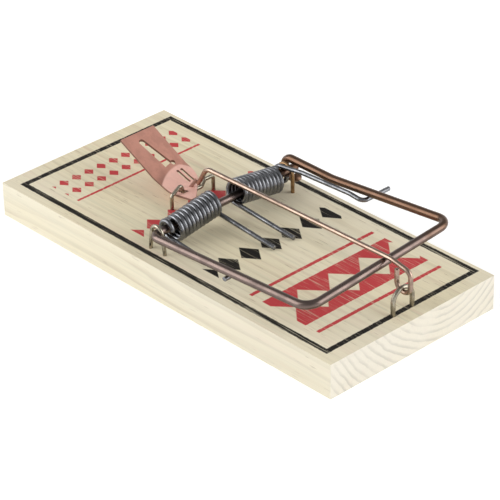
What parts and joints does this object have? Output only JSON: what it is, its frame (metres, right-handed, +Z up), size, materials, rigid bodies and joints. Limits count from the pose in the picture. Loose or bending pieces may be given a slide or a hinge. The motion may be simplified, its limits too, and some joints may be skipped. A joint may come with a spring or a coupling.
{
  "type": "snap trap",
  "caption": "Wooden-board snap trap with a coil-spring wire hammer, a lock bar and a tilting bait pedal, shown set.",
  "frame": {"origin": "centre of the board's underside", "axes": "+Z up, +X along the board towards the lock bar's staple, +Y towards the far long side"},
  "size_m": [0.1778, 0.0874, 0.0336],
  "materials": {
    "pine": "bare, fine grain",
    "hammer_wire": "copper-washed steel wire, satin",
    "spring_wire": "dark oiled steel wire",
    "lock_wire": "pale copper-washed steel wire",
    "staple_wire": "yellowish plated wire",
    "brown_staple_wire": "brown copper-washed wire",
    "copper_sheet": "copper-washed sheet steel, satin"
  },
  "bodies": {
    "board": {"base": "pine", "near_spring": "spring_wire", "far_spring": "spring_wire", "lock_bar_staple": "staple_wire", "pedal_staple": "staple_wire", "near_pivot_staple": "staple_wire", "far_pivot_staple": "brown_staple_wire"},
    "hammer": {"hammer": "hammer_wire", "near_spring_arm": "spring_wire", "far_spring_arm": "spring_wire"},
    "lock_bar": {"lock_bar": "lock_wire"},
    "pedal": {"pedal": "copper_sheet"}
  },
  "joints": [
    {"name": "hammer_swing", "type": "hinge", "parent": "board", "child": "hammer", "pos_m": [-0.0089, 0, 0.0218], "axis": [0, -1, 0], "range_deg": [0, 176.5]},
    {"name": "lock_bar_swing", "type": "hinge", "parent": "board", "child": "lock_bar", "pos_m": [0.0821, 0.0015, 0.0238], "axis": [0, 1, 0], "range_deg": [0, 170]},
    {"name": "pedal_tilt", "type": "hinge", "parent": "board", "child": "pedal", "pos_m": [-0.0279, 0.0015, 0.01792], "axis": [0, -1, 0], "range_deg": [0, 12]}
  ]
}
